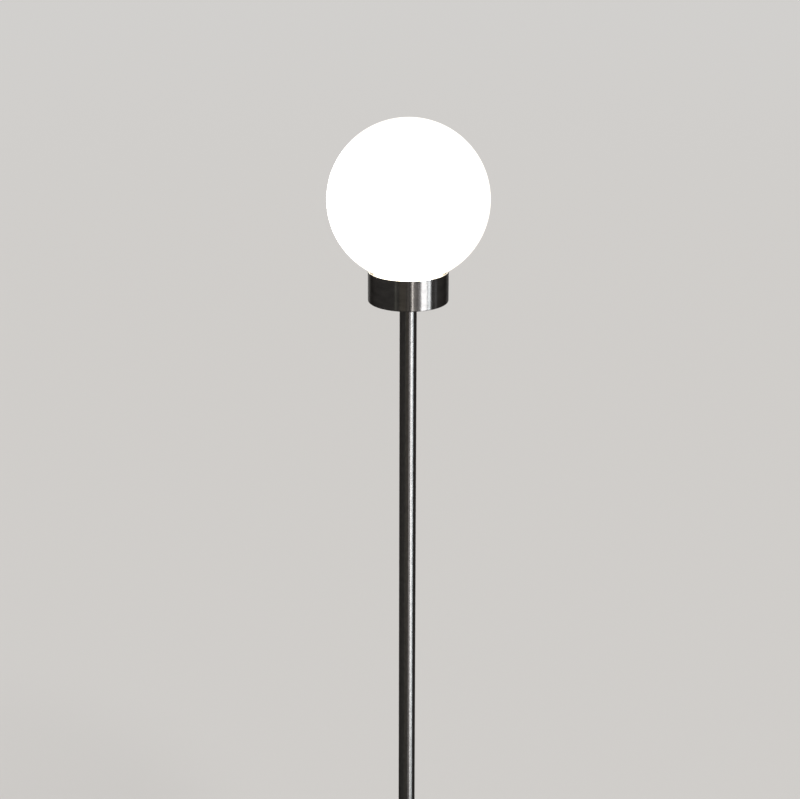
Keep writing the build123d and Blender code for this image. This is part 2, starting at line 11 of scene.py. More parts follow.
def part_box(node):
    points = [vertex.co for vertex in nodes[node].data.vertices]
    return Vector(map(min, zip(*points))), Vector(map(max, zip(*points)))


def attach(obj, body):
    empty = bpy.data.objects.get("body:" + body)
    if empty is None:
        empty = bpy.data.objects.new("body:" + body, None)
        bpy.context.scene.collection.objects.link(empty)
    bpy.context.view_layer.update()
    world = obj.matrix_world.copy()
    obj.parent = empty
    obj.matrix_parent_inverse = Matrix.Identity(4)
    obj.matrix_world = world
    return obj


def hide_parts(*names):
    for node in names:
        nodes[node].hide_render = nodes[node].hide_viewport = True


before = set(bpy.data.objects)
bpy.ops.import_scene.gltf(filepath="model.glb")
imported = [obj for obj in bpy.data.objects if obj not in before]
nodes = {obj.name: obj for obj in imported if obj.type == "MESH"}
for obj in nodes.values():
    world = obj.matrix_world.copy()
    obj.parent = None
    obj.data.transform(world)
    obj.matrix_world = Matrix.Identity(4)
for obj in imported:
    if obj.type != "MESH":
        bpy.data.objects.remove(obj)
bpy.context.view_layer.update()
print("frame:", len(nodes), "nodes")


# sizes read from the frame

def level(node, top=False):
    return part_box(node)[1 if top else 0].z


def radiusOf(node):
    low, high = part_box(node)
    return (high.x - low.x) / 2


globeCentre = level("glass_globe", top=True) - radiusOf("glass_globe")
cupRim = level("cup", top=True)
cupBottom = level("cup")


# camera, at the photograph's viewing angle

photoView = {
    "lens": 108.0,
    "sensor": 36.0,
    "farEnd": 100.0,
    "back": 2.8396,          # from the lamp's axis
    "above": 0.7182,         # over the middle of the ball
    "down": 18.954,          # degrees
    "turn": 0.199,
    "roll": 0.126,
}


def makeCamera(view):
    data = bpy.data.cameras.new("photoCamera")
    data.lens = view["lens"]
    data.sensor_width = view["sensor"]
    data.clip_end = view["farEnd"]
    camera = bpy.data.objects.new("photoCamera", data)
    bpy.context.scene.collection.objects.link(camera)
    turned = Matrix.Rotation(math.radians(view["turn"]), 4, "Z")
    tilted = Matrix.Rotation(math.radians(90 - view["down"]), 4, "X")
    rolled = Matrix.Rotation(math.radians(view["roll"]), 4, "Z")
    place = Matrix.Translation((0, -view["back"], globeCentre + view["above"]))
    camera.matrix_world = place @ turned @ tilted @ rolled
    bpy.context.scene.camera = camera


makeCamera(photoView)
bpy.context.scene.view_settings.view_transform = "Standard"
print("camera: set")


# helpers for node trees

mixSockets = {"mask": 0, "first": 6, "second": 7, "result": 2}  # of a colour mix


def math2(tree, operation, first, second=None):
    node = tree.nodes.new("ShaderNodeMath")
    node.operation = operation
    for socket, value in zip(node.inputs, (first, second)):
        if isinstance(value, bpy.types.NodeSocket):
            tree.links.new(value, socket)
        elif value is not None:
            socket.default_value = value
    return node.outputs[0]


def vectorMath(tree, operation, vector, output):
    node = tree.nodes.new("ShaderNodeVectorMath")
    node.operation = operation
    tree.links.new(vector, node.inputs[0])
    return node.outputs[output]


def spreadOver(tree, value, low, high, fromLow=0.0, fromHigh=1.0, smooth=False):
    node = tree.nodes.new("ShaderNodeMapRange")
    if smooth:
        node.interpolation_type = "SMOOTHSTEP"
    node.inputs["From Min"].default_value = fromLow
    node.inputs["From Max"].default_value = fromHigh
    node.inputs["To Min"].default_value = low
    node.inputs["To Max"].default_value = high
    tree.links.new(value, node.inputs["Value"])
    return node.outputs["Result"]


def mixTones(tree, mask, first, second):
    node = tree.nodes.new("ShaderNodeMix")
    node.data_type = "RGBA"
    for label, tone in (("first", first), ("second", second)):
        socket = node.inputs[mixSockets[label]]
        if isinstance(tone, bpy.types.NodeSocket):
            tree.links.new(tone, socket)
        else:
            socket.default_value = (*tone, 1.0)
    tree.links.new(mask, node.inputs[mixSockets["mask"]])
    return node.outputs[mixSockets["result"]]


def mixShaders(tree, mask, first, second, out):
    mix = tree.nodes.new("ShaderNodeMixShader")
    tree.links.new(mask, mix.inputs["Fac"])
    tree.links.new(first, mix.inputs[1])
    tree.links.new(second, mix.inputs[2])
    tree.links.new(mix.outputs["Shader"], out.inputs["Surface"])


def noiseAt(tree, vector, scale, detail=2.0, rough=0.5):
    node = tree.nodes.new("ShaderNodeTexNoise")
    node.inputs["Detail"].default_value = detail
    node.inputs["Roughness"].default_value = rough
    if isinstance(scale, bpy.types.NodeSocket):
        tree.links.new(scale, node.inputs["Scale"])
    else:
        node.inputs["Scale"].default_value = scale
    tree.links.new(vector, node.inputs["Vector"])
    return node.outputs["Fac"]


def objectPlace(tree):
    return tree.nodes.new("ShaderNodeTexCoord").outputs["Object"]


def partsOf(tree, vector):
    node = tree.nodes.new("ShaderNodeSeparateXYZ")
    tree.links.new(vector, node.inputs[0])
    return node.outputs


def acrossAxis(tree, parts):
    # the share of a place that lies across the lamp's axis
    flat = tree.nodes.new("ShaderNodeCombineXYZ")
    tree.links.new(parts["X"], flat.inputs["X"])
    tree.links.new(parts["Y"], flat.inputs["Y"])
    return flat.outputs[0]


# studio: floor, world, sun and cards

studio = {
    "floorHalf": 40.0,
    "floorTone": (0.640, 0.628, 0.612, 1.0),
    "backdropTone": (0.640, 0.628, 0.612, 1.0),
    "fadeStart": 2.5,        # where the floor starts to run into the backdrop
    "fadeEnd": 9.0,
    "fillTone": (1.0, 0.985, 0.97, 1.0),
    "fill": 0.62,            # of the world, on the object and the floor
    "sunStrength": 1.45,
    "sunSize": 28.0,         # degrees across
    "sunHeight": 52.0,
    "sunTurn": 50.0,         # bearing, in degrees
}

# Cards that only gloss sees, each from one bearing to another, in degrees.
# A radiance of 1 is white. Most are above it, and some far above, as the steel's tone is nearly
# black, darkened as painted shade.
# They are fitted to the photograph's one view, and are no plain soft light.
glossCards = {
    "brightWide": {"from": 36.2, "to": 53.4, "radiance": 33.0, "tone": (0.94, 0.97, 1.0)},
    "brightSlim": {"from": 56.6, "to": 63.7, "radiance": 36.0, "tone": (0.88, 0.95, 1.0)},
    "cupHairline": {"from": 10.4, "to": 13.6, "radiance": 28.0, "tone": (1.0, 0.98, 0.95)},
    "greyLeft": {"from": 14.6, "to": 23.1, "radiance": 2.8, "tone": (1.0, 0.98, 0.96)},
    "greyRight": {"from": 23.9, "to": 32.3, "radiance": 1.8, "tone": (1.0, 0.95, 0.96)},
    "faintFar": {"from": -36.0, "to": -33.2, "radiance": 1.8, "tone": (0.95, 1.0, 0.85)},
    "faintLeft": {"from": -24.0, "to": -5.0, "radiance": 0.55, "tone": (1.0, 0.86, 0.62)},
    "faintMiddle": {"from": -1.4, "to": 1.0, "radiance": 2.0, "tone": (1.0, 0.90, 0.80)},
    "faintRight": {"from": 81.0, "to": 84.0, "radiance": 3.0, "tone": (0.88, 0.93, 1.0)},
    "behindWide": {"from": 205.0, "to": 226.0, "radiance": 1.6, "tone": (1.0, 0.98, 0.96)},
    "behindSlim": {"from": 140.0, "to": 145.0, "radiance": 3.0, "tone": (1.0, 0.98, 0.96)},
    "poleGrey": {"from": 11.0, "to": 31.0, "radiance": 3.0, "tone": (1.0, 0.98, 1.0)},
    "poleSlim": {"from": 65.2, "to": 73.0, "radiance": 26.0, "tone": (0.84, 0.94, 1.0)},
    "softRight": {"from": 30.0, "to": 62.0, "radiance": 6.0, "tone": (0.96, 0.98, 1.0)},
    "softLeft": {"from": -78.0, "to": -60.0, "radiance": 4.0, "tone": (1.0, 0.98, 0.96)},
    "softBehind": {"from": 200.0, "to": 226.0, "radiance": 5.0, "tone": (1.0, 0.98, 0.96)},
}
cardStand = {"distance": 0.7, "low": 0.01, "high": 2.2}

# What a card lights, by how its name begins. Any other card lights the upright steel.
upright = ("cup", "pole")
cardAim = {
    "cup": ("cup",),
    "pole": ("pole",),
    "soft": [name for name in nodes if name not in upright],
    "upright": upright,
}


def makeFloor():
    half = studio["floorHalf"]
    mesh = bpy.data.meshes.new("floor")
    corners = [(-half, -half, 0), (half, -half, 0), (half, half, 0), (-half, half, 0)]
    mesh.from_pydata(corners, [], [(0, 1, 2, 3)])
    floor = bpy.data.objects.new("floor", mesh)
    bpy.context.scene.collection.objects.link(floor)
    material = bpy.data.materials.new("paleFloor")
    material.use_nodes = True
    tree = material.node_tree
    tree.nodes.clear()
    far = vectorMath(tree, "LENGTH", objectPlace(tree), "Value")
    fade = spreadOver(tree, far, 0.0, 1.0, studio["fadeStart"], studio["fadeEnd"], smooth=True)
    paint = tree.nodes.new("ShaderNodeBsdfDiffuse")
    paint.inputs["Color"].default_value = studio["floorTone"]
    backdrop = tree.nodes.new("ShaderNodeEmission")
    backdrop.inputs["Color"].default_value = studio["backdropTone"]
    out = tree.nodes.new("ShaderNodeOutputMaterial")
    mixShaders(tree, fade, paint.outputs["BSDF"], backdrop.outputs["Emission"], out)
    mesh.materials.append(material)


def makeWorld():
    # camera, gloss and glass see the backdrop, and everything else is lit by the fill
    world = bpy.data.worlds.new("studioWorld")
    bpy.context.scene.world = world
    world.use_nodes = True
    tree = world.node_tree
    tree.nodes.clear()
    rays = tree.nodes.new("ShaderNodeLightPath").outputs
    seen = math2(tree, "MAXIMUM", rays["Is Camera Ray"], rays["Is Glossy Ray"])
    seen = math2(tree, "MAXIMUM", seen, rays["Is Transmission Ray"])
    fill = tree.nodes.new("ShaderNodeBackground")
    fill.inputs["Color"].default_value = studio["fillTone"]
    fill.inputs["Strength"].default_value = studio["fill"]
    backdrop = tree.nodes.new("ShaderNodeBackground")
    backdrop.inputs["Color"].default_value = studio["backdropTone"]
    out = tree.nodes.new("ShaderNodeOutputWorld")
    mixShaders(tree, seen, fill.outputs["Background"], backdrop.outputs["Background"], out)


def bearing(degrees):
    # level direction from the lamp: 0 is towards the camera, and 90 is to the camera's right
    return Vector((math.sin(math.radians(degrees)), -math.cos(math.radians(degrees)), 0))


def makeSun():
    data = bpy.data.lights.new("softSun", "SUN")
    data.energy = studio["sunStrength"]
    data.angle = math.radians(studio["sunSize"])
    sun = bpy.data.objects.new("softSun", data)
    bpy.context.scene.collection.objects.link(sun)
    high = math.radians(studio["sunHeight"])
    source = bearing(studio["sunTurn"]) * math.cos(high) + Vector((0, 0, math.sin(high)))
    sun.rotation_euler = source.to_track_quat("Z", "Y").to_euler()


def makeReceivers(name, names):
    group = bpy.data.collections.new(name)
    for node in names:
        group.objects.link(nodes[node])
    return group


def makeGlossCard(name, card, aim):
    middle = (card["from"] + card["to"]) / 2
    spread = math.radians(card["to"] - card["from"]) / 2
    width = 2 * cardStand["distance"] * math.tan(spread)
    height = cardStand["high"] - cardStand["low"]
    data = bpy.data.lights.new(name, "AREA")
    data.shape = "RECTANGLE"
    data.size, data.size_y = width, height
    data.color = card["tone"]
    data.energy = card["radiance"] * math.pi * width * height
    lamp = bpy.data.objects.new(name, data)
    bpy.context.scene.collection.objects.link(lamp)
    lamp.location = bearing(middle) * cardStand["distance"]
    lamp.location.z = (cardStand["high"] + cardStand["low"]) / 2
    lamp.rotation_euler = bearing(middle).to_track_quat("Z", "Y").to_euler()
    lamp.visible_camera = False
    lamp.visible_diffuse = False
    lamp.light_linking.receiver_collection = aim


makeFloor()
makeWorld()
makeSun()
receivers = {
    begin: makeReceivers(begin + "Receivers", names) for begin, names in cardAim.items()
}
for name, card in glossCards.items():
    aim = next((begin for begin in cardAim if name.startswith(begin)), "upright")
    makeGlossCard(name, card, receivers[aim])
print("studio: floor, world, sun and", len(glossCards), "cards")


# shared effects, as node groups

def newGroup(name, takes, gives):
    tree = bpy.data.node_groups.new(name, "ShaderNodeTree")
    for label, value in takes.items():
        socket = tree.interface.new_socket(label, in_out="INPUT", socket_type="NodeSocketFloat")
        socket.default_value = value
    for label in gives:
        tree.interface.new_socket(label, in_out="OUTPUT", socket_type="NodeSocketFloat")
    start, end = tree.nodes.new("NodeGroupInput"), tree.nodes.new("NodeGroupOutput")
    return tree, start.outputs, end.inputs


def buildTurnedGrain():
    # fine lines left by a turning or brushing tool that ran round the Z axis
    tree, takes, gives = newGroup(
        "turnedGrain", {"Lines": 2600.0, "Length": 3.0, "Bands": 160.0}, ("Fine", "Broad")
    )
    parts = partsOf(tree, objectPlace(tree))
    flat = acrossAxis(tree, parts)
    out = vectorMath(tree, "LENGTH", flat, "Value")
    turned = partsOf(tree, vectorMath(tree, "NORMALIZE", flat, "Vector"))
    along = math2(tree, "ADD", parts["Z"], out)
    for label, density in (("Fine", "Lines"), ("Broad", "Bands")):
        streak = tree.nodes.new("ShaderNodeCombineXYZ")
        for axis in ("X", "Y"):
            stretched = math2(tree, "MULTIPLY", turned[axis], takes["Length"])
            tree.links.new(stretched, streak.inputs[axis])
        tree.links.new(math2(tree, "MULTIPLY", along, takes[density]), streak.inputs["Z"])
        lines = noiseAt(tree, streak.outputs[0], 1.0, detail=3.0, rough=0.6)
        tree.links.new(lines, gives[label])
    return tree


def buildHandling():
    # broad smudges left by hands and cloths, evenly above and below zero
    tree, takes, gives = newGroup("handling", {"Size": 22.0, "Amount": 1.0}, ("Smudge",))
    smudge = noiseAt(tree, objectPlace(tree), takes["Size"], detail=4.0, rough=0.62)
    centred = math2(tree, "SUBTRACT", smudge, 0.5)
    tree.links.new(math2(tree, "MULTIPLY", centred, takes["Amount"]), gives["Smudge"])
    return tree


def buildSurfaceSkin():
    # small unevenness of cast, moulded and plated surfaces
    tree, takes, gives = newGroup(
        "surfaceSkin", {"Grain": 900.0, "Patch": 90.0}, ("Height", "Tone")
    )
    patchHeight = 0.6        # of the grain's
    place = objectPlace(tree)
    fine = noiseAt(tree, place, takes["Grain"], detail=3.0, rough=0.6)
    patch = noiseAt(tree, place, takes["Patch"], detail=3.0, rough=0.55)
    height = math2(tree, "ADD", fine, math2(tree, "MULTIPLY", patch, patchHeight))
    tree.links.new(height, gives["Height"])
    tree.links.new(patch, gives["Tone"])
    return tree


def buildSpangle():
    # crystal patches of plated and rolled metal
    tree, takes, gives = newGroup("spangle", {"Cells": 700.0}, ("Tone",))
    cells = tree.nodes.new("ShaderNodeTexVoronoi")
    tree.links.new(objectPlace(tree), cells.inputs["Vector"])
    tree.links.new(takes["Cells"], cells.inputs["Scale"])
    parts = tree.nodes.new("ShaderNodeSeparateColor")
    tree.links.new(cells.outputs["Color"], parts.inputs[0])
    tree.links.new(parts.outputs[0], gives["Tone"])
    return tree


def buildSettledDust():
    # thin dust on what faces up
    tree, takes, gives = newGroup("settledDust", {"Amount": 0.3, "Size": 60.0}, ("Mask",))
    fallOff = 3.0            # how soon it thins on a slope
    facing = partsOf(tree, tree.nodes.new("ShaderNodeNewGeometry").outputs["Normal"])
    up = math2(tree, "POWER", math2(tree, "MAXIMUM", facing["Z"], 0.0), fallOff)
    patchy = noiseAt(tree, objectPlace(tree), takes["Size"], detail=4.0, rough=0.65)
    mask = math2(tree, "MULTIPLY", math2(tree, "MULTIPLY", up, patchy), takes["Amount"])
    tree.links.new(mask, gives["Mask"])
    return tree


turnedGrain = buildTurnedGrain()
handling = buildHandling()
surfaceSkin = buildSurfaceSkin()
spangle = buildSpangle()
settledDust = buildSettledDust()
print("effects: built")


# helpers for materials

dustTone = (0.42, 0.40, 0.37)


def newMaterial(name, tone, **constants):
    material = bpy.data.materials.new(name)
    material.use_nodes = True
    tree = material.node_tree
    shader = tree.nodes["Principled BSDF"]
    shader.inputs["Base Color"].default_value = (*tone, 1.0)
    for label, value in constants.items():
        shader.inputs[label].default_value = value
    return material, tree, shader


def placeGroup(tree, group, **values):
    node = tree.nodes.new("ShaderNodeGroup")
    node.node_tree = group
    for label, value in values.items():
        node.inputs[label].default_value = value
    return node


def addBump(tree, shader, height, strength, depth):
    node = tree.nodes.new("ShaderNodeBump")
    node.inputs["Strength"].default_value = strength
    node.inputs["Distance"].default_value = depth
    tree.links.new(height, node.inputs["Height"])
    tree.links.new(node.outputs["Normal"], shader.inputs["Normal"])


def colour(tree, shader, tone, rough):
    tree.links.new(tone, shader.inputs["Base Color"])
    tree.links.new(rough, shader.inputs["Roughness"])


def dress(material, *names):
    for name in names:
        for slot in nodes[name].material_slots:
            slot.material = material


# opal glass of the ball

ball = {
    "tone": (0.92, 0.915, 0.90),
    "roughness": 0.16,
    "ior": 1.5,
    "coat": 0.4,
    "coatRoughness": 0.05,
    "glow": (1.0, 0.975, 0.93),
    "neckGlow": (1.0, 0.87, 0.66),
    "limbGlow": (1.0, 0.90, 0.74),
    "strength": 1.25,
    "neckStrength": 3.0,     # inside the cup, where it lights the wall
    "fadeBelow": 0.004,      # from the neck's glow to the ball's, about the cup's rim
    "fadeAbove": 0.006,
    "limb": 0.66,            # how much the glow drops at the very outline
    "limbBlend": 0.5,
    "limbPower": 7.0,        # the higher, the narrower the limb
    "cloudSize": 14.0,
    "cloud": (0.985, 1.015),
    "cloudFrom": (0.3, 0.7),
}


def makeOpalGlass():
    material, tree, shader = newMaterial("opalGlass", ball["tone"], **{
        "Roughness": ball["roughness"], "IOR": ball["ior"], "Coat Weight": ball["coat"],
        "Coat Roughness": ball["coatRoughness"],
    })
    place = objectPlace(tree)
    low, high = cupRim - ball["fadeBelow"], cupRim + ball["fadeAbove"]
    up = spreadOver(tree, partsOf(tree, place)["Z"], 0.0, 1.0, low, high, smooth=True)
    edge = tree.nodes.new("ShaderNodeLayerWeight")
    edge.inputs["Blend"].default_value = ball["limbBlend"]
    outline = math2(tree, "POWER", edge.outputs["Facing"], ball["limbPower"])
    glow = mixTones(tree, up, ball["neckGlow"], ball["glow"])
    glow = mixTones(tree, outline, glow, ball["limbGlow"])
    tree.links.new(glow, shader.inputs["Emission Color"])
    rounded = spreadOver(tree, outline, 1.0, 1.0 - ball["limb"])
    even = spreadOver(tree, noiseAt(tree, place, ball["cloudSize"]), *ball["cloud"],
                      *ball["cloudFrom"])
    amount = spreadOver(tree, up, ball["neckStrength"], ball["strength"])
    lit = math2(tree, "MULTIPLY", math2(tree, "MULTIPLY", amount, rounded), even)
    tree.links.new(lit, shader.inputs["Emission Strength"])
    return material


# turned and brushed steel

steel = {
    "tone": (0.032, 0.0305, 0.0295),     # nearly black: painted shade, darker than plain steel, standing in for the dim room it reflects; see the cards
    "lightTone": (0.042, 0.040, 0.0385),
    "toneFrom": (0.35, 0.65),
    # the light tone inside the cup and on its cut edge is painted glow from the lit ball
    "glowLitTone": (0.80, 0.78, 0.74),
    "roughness": 0.26,
    "unevenness": 0.008,     # of the roughness, from line to line
    "unevenFrom": (0.3, 0.7),
    "anisotropy": 1.0,
    "turn": 0.25,
    "edgeTint": (0.40, 0.40, 0.40, 1.0),
    "markSize": 26.0,
    "marks": 0.025,
    "bump": 0.03,
    "bumpDepth": 0.00002,
}
steelPieces = {
    "cupSteel": {"node": "cup", "lines": 2600.0, "dust": 0.0, "glowLitInside": True},
    "poleSteel": {"node": "pole", "lines": 2200.0, "dust": 0.0, "glowLitInside": False},
    "baseSteel": {"node": "base_cover", "lines": 1800.0, "dust": 0.10, "glowLitInside": False},
}
# how far the painted glow reaches: in from the wall, down from the rim, up from the floor
cupGlowLitReach = {"wall": 0.0007, "edge": 0.0003, "floor": 0.0014}


def cupGlowLitMask(tree):
    # painted glow: a light steel tone inside the cup and on its cut edge, where the lit ball's
    # light falls on them
    parts = partsOf(tree, objectPlace(tree))
    out = vectorMath(tree, "LENGTH", acrossAxis(tree, parts), "Value")
    inside = math2(tree, "LESS_THAN", out, radiusOf("cup") - cupGlowLitReach["wall"])
    deep = math2(tree, "GREATER_THAN", parts["Z"], cupBottom + cupGlowLitReach["floor"])
    above = math2(tree, "GREATER_THAN", parts["Z"], cupRim - cupGlowLitReach["edge"])
    return math2(tree, "MAXIMUM", math2(tree, "MULTIPLY", inside, deep), above)


def makeSteel(name, piece):
    material, tree, shader = newMaterial(name, steel["tone"], **{
        "Metallic": 1.0, "Roughness": steel["roughness"], "Anisotropic": steel["anisotropy"],
        "Anisotropic Rotation": steel["turn"], "Specular Tint": steel["edgeTint"],
    })
    grain = placeGroup(tree, turnedGrain, Lines=piece["lines"])
    marks = placeGroup(tree, handling, Size=steel["markSize"], Amount=steel["marks"])
    axis = tree.nodes.new("ShaderNodeTangent")
    axis.direction_type = "RADIAL"
    axis.axis = "Z"
    tree.links.new(axis.outputs["Tangent"], shader.inputs["Tangent"])
    banded = spreadOver(tree, grain.outputs["Broad"], 0.0, 1.0, *steel["toneFrom"])
    tone = mixTones(tree, banded, steel["tone"], steel["lightTone"])
    rough = spreadOver(tree, grain.outputs["Fine"], steel["roughness"] - steel["unevenness"],
                       steel["roughness"] + steel["unevenness"], *steel["unevenFrom"])
    rough = math2(tree, "ADD", rough, marks.outputs["Smudge"])
    if piece["dust"]:
        film = placeGroup(tree, settledDust, Amount=piece["dust"])
        tone = mixTones(tree, film.outputs["Mask"], tone, dustTone)
        clean = math2(tree, "SUBTRACT", 1.0, film.outputs["Mask"])
        tree.links.new(clean, shader.inputs["Metallic"])
    # painted glow inside the cup and on its rim, as a light steel tone
    if piece["glowLitInside"]:
        tone = mixTones(tree, cupGlowLitMask(tree), tone, steel["glowLitTone"])
    colour(tree, shader, tone, rough)
    addBump(tree, shader, grain.outputs["Fine"], steel["bump"], steel["bumpDepth"])
    return material


dress(makeOpalGlass(), "glass_globe")
for name, piece in steelPieces.items():
    dress(makeSteel(name, piece), piece["node"])
print("shade and steel: dressed")


# the other metal pieces

metals = {
    "zincPlate": {
        "tone": (0.50, 0.52, 0.55), "second": (0.60, 0.61, 0.62), "roughness": 0.34,
        "nodes": ("gallery_pan", "clip_rivets", "lock_washer", "cup_nut", "top_threaded_tube",
                  "pole_top_bush", "pole_bottom_bush", "base_threaded_tube", "base_washer",
                  "base_nut", "block_screws", "earth_screw"),
    },
    "springStrip": {
        "tone": (0.24, 0.25, 0.29), "second": (0.34, 0.33, 0.35), "roughness": 0.30,
        "nodes": ("globe_clips",),
    },
    "plainBrass": {
        "tone": (0.70, 0.52, 0.24), "second": (0.78, 0.60, 0.32), "roughness": 0.28,
        "nodes": ("holder_terminals", "centre_contact"),
    },
    "nickelPlate": {
        "tone": (0.62, 0.59, 0.54), "second": (0.70, 0.67, 0.61), "roughness": 0.26,
        "nodes": ("socket_shell", "clamp_screws", "earth_tag"),
    },
    "rolledCap": {
        "tone": (0.66, 0.66, 0.65), "second": (0.74, 0.74, 0.73), "roughness": 0.30,
        "nodes": ("bulb_screw_cap",),
    },
    "tinSolder": {
        "tone": (0.46, 0.46, 0.47), "second": (0.62, 0.62, 0.62), "roughness": 0.38,
        "nodes": ("bulb_tip",),
    },
}
metalSkin = {
    "grain": 1500.0, "patch": 160.0, "markSize": 60.0, "marks": 0.22,
    "spangleShare": 0.35,    # of the tone's pattern, and the patches have the rest
    "bump": 0.18, "bumpDepth": 0.00006,
}


def makeMetal(name, finish):
    material, tree, shader = newMaterial(name, finish["tone"], Metallic=1.0)
    cells = placeGroup(tree, spangle)
    skin = placeGroup(tree, surfaceSkin, Grain=metalSkin["grain"], Patch=metalSkin["patch"])
    marks = placeGroup(tree, handling, Size=metalSkin["markSize"], Amount=metalSkin["marks"])
    share = metalSkin["spangleShare"]
    pattern = math2(tree, "ADD", math2(tree, "MULTIPLY", cells.outputs["Tone"], share),
                    math2(tree, "MULTIPLY", skin.outputs["Tone"], 1.0 - share))
    tone = mixTones(tree, pattern, finish["tone"], finish["second"])
    rough = math2(tree, "ADD", marks.outputs["Smudge"], finish["roughness"])
    colour(tree, shader, tone, rough)
    addBump(tree, shader, skin.outputs["Height"], metalSkin["bump"], metalSkin["bumpDepth"])
    return material


# the pieces of plastic, rubber, foam and painted iron

plains = {
    "blackHolder": {
        "tone": (0.018, 0.017, 0.016), "second": (0.032, 0.030, 0.028), "roughness": 0.36,
        "grain": 1400.0, "bump": 0.12, "dust": 0.10, "nodes": ("holder_cap", "holder_skirt"),
    },
    "glazedInsulator": {
        "tone": (0.84, 0.82, 0.76), "second": (0.89, 0.88, 0.84), "roughness": 0.14,
        "grain": 500.0, "bump": 0.08, "dust": 0.0, "nodes": ("holder_insulator",),
    },
    "blockPlastic": {
        "tone": (0.82, 0.81, 0.76), "second": (0.88, 0.87, 0.83), "roughness": 0.42,
        "grain": 1200.0, "bump": 0.15, "dust": 0.0, "nodes": ("terminal_block",),
    },
    "bulbHousing": {
        "tone": (0.84, 0.84, 0.83), "second": (0.89, 0.89, 0.88), "roughness": 0.38,
        "grain": 1100.0, "bump": 0.12, "dust": 0.06, "nodes": ("bulb_collar",),
    },
    "blackGlassPlug": {
        "tone": (0.012, 0.012, 0.014), "second": (0.025, 0.025, 0.028), "roughness": 0.12,
        "grain": 400.0, "bump": 0.10, "dust": 0.0, "nodes": ("bulb_insulator",),
    },
    "boardLacquer": {
        "tone": (0.80, 0.81, 0.79), "second": (0.86, 0.87, 0.85), "roughness": 0.30,
        "grain": 900.0, "bump": 0.10, "dust": 0.0, "nodes": ("bulb_board",),
    },
    "milkySilicone": {
        "tone": (0.70, 0.69, 0.66), "second": (0.80, 0.79, 0.76), "roughness": 0.48,
        "grain": 1000.0, "bump": 0.20, "dust": 0.15, "nodes": ("neck_gasket",),
    },
    "blackRubber": {
        "tone": (0.016, 0.016, 0.016), "second": (0.030, 0.030, 0.030), "roughness": 0.62,
        "grain": 1600.0, "bump": 0.30, "dust": 0.20, "nodes": ("cord_grommet",),
    },
    "padFoam": {
        "tone": (0.022, 0.022, 0.024), "second": (0.050, 0.050, 0.053), "roughness": 0.90,
        "grain": 2200.0, "bump": 0.60, "dust": 0.0, "nodes": ("floor_pad",),
    },
    "blackedIron": {
        "tone": (0.040, 0.040, 0.042), "second": (0.085, 0.082, 0.080), "roughness": 0.55,
        "grain": 700.0, "bump": 0.80, "dust": 0.0, "nodes": ("base_weight",),
    },
    "leadSheath": {
        "tone": (0.80, 0.80, 0.79), "second": (0.86, 0.86, 0.85), "roughness": 0.44,
        "grain": 800.0, "bump": 0.12, "dust": 0.0, "nodes": ("inner_lead",),
    },
}
plainSkin = {
    "coarser": 12,           # how many times wider the patches are than the grain
    "toneFrom": (0.3, 0.7), "markSize": 45.0, "marks": 0.18, "bumpDepth": 0.0001,
}


def makePlain(name, finish):
    material, tree, shader = newMaterial(name, finish["tone"])
    skin = placeGroup(tree, surfaceSkin, Grain=finish["grain"],
                      Patch=finish["grain"] / plainSkin["coarser"])
    marks = placeGroup(tree, handling, Size=plainSkin["markSize"], Amount=plainSkin["marks"])
    patches = spreadOver(tree, skin.outputs["Tone"], 0.0, 1.0, *plainSkin["toneFrom"])
    tone = mixTones(tree, patches, finish["tone"], finish["second"])
    if finish["dust"]:
        film = placeGroup(tree, settledDust, Amount=finish["dust"])
        tone = mixTones(tree, film.outputs["Mask"], tone, dustTone)
    rough = math2(tree, "ADD", marks.outputs["Smudge"], finish["roughness"])
    colour(tree, shader, tone, rough)
    addBump(tree, shader, skin.outputs["Height"], finish["bump"], plainSkin["bumpDepth"])
    return material


finished = {}
for finishes, makeFinish in ((metals, makeMetal), (plains, makePlain)):
    for name, finish in finishes.items():
        finished[name] = makeFinish(name, finish)
        dress(finished[name], *finish["nodes"])
print("small pieces:", len(finished), "finishes")


# insulated cores

cores = {
    "brown": (0.16, 0.075, 0.035),
    "blue": (0.035, 0.13, 0.36),
    "green": (0.08, 0.30, 0.06),
    "yellow": (0.75, 0.62, 0.05),
    "stripe": 0.011,         # a green and a yellow stripe of the earth wire, along one axis
    "baseSlope": 0.2,        # of the line between the two cores, as x over y
    "holderSlope": 0.0,
    "roughness": (0.34, 0.46),
    "meanRoughness": 0.4,
    "grain": 900.0, "patch": 80.0, "bump": 0.12,
}


def twoCores(tree, parts, slope):
    # blue on one side of a line through the lamp's axis, and brown on the other
    line = math2(tree, "MULTIPLY", parts["Y"], slope)
    side = math2(tree, "GREATER_THAN", parts["X"], line)
    return mixTones(tree, side, cores["blue"], cores["brown"])


def earthStripes(tree, parts):
    along = math2(tree, "ADD", math2(tree, "ADD", parts["X"], parts["Y"]), parts["Z"])
    phase = math2(tree, "FRACT", math2(tree, "DIVIDE", along, cores["stripe"]))
    half = math2(tree, "GREATER_THAN", phase, 0.5)
    return mixTones(tree, half, cores["green"], cores["yellow"])


def makeCore(name, paint, *settings):
    material, tree, shader = newMaterial(
        name, cores["brown"], Roughness=cores["meanRoughness"]
    )
    parts = partsOf(tree, objectPlace(tree))
    skin = placeGroup(tree, surfaceSkin, Grain=cores["grain"], Patch=cores["patch"])
    rough = spreadOver(tree, skin.outputs["Tone"], *cores["roughness"])
    colour(tree, shader, paint(tree, parts, *settings), rough)
    addBump(tree, shader, skin.outputs["Height"], cores["bump"], plainSkin["bumpDepth"])
    return material


dress(makeCore("baseCoreColours", twoCores, cores["baseSlope"]), "base_cores")
dress(makeCore("holderCoreColours", twoCores, cores["holderSlope"]), "holder_cores")
dress(makeCore("earthCore", earthStripes), "earth_link")
print("cores: dressed")


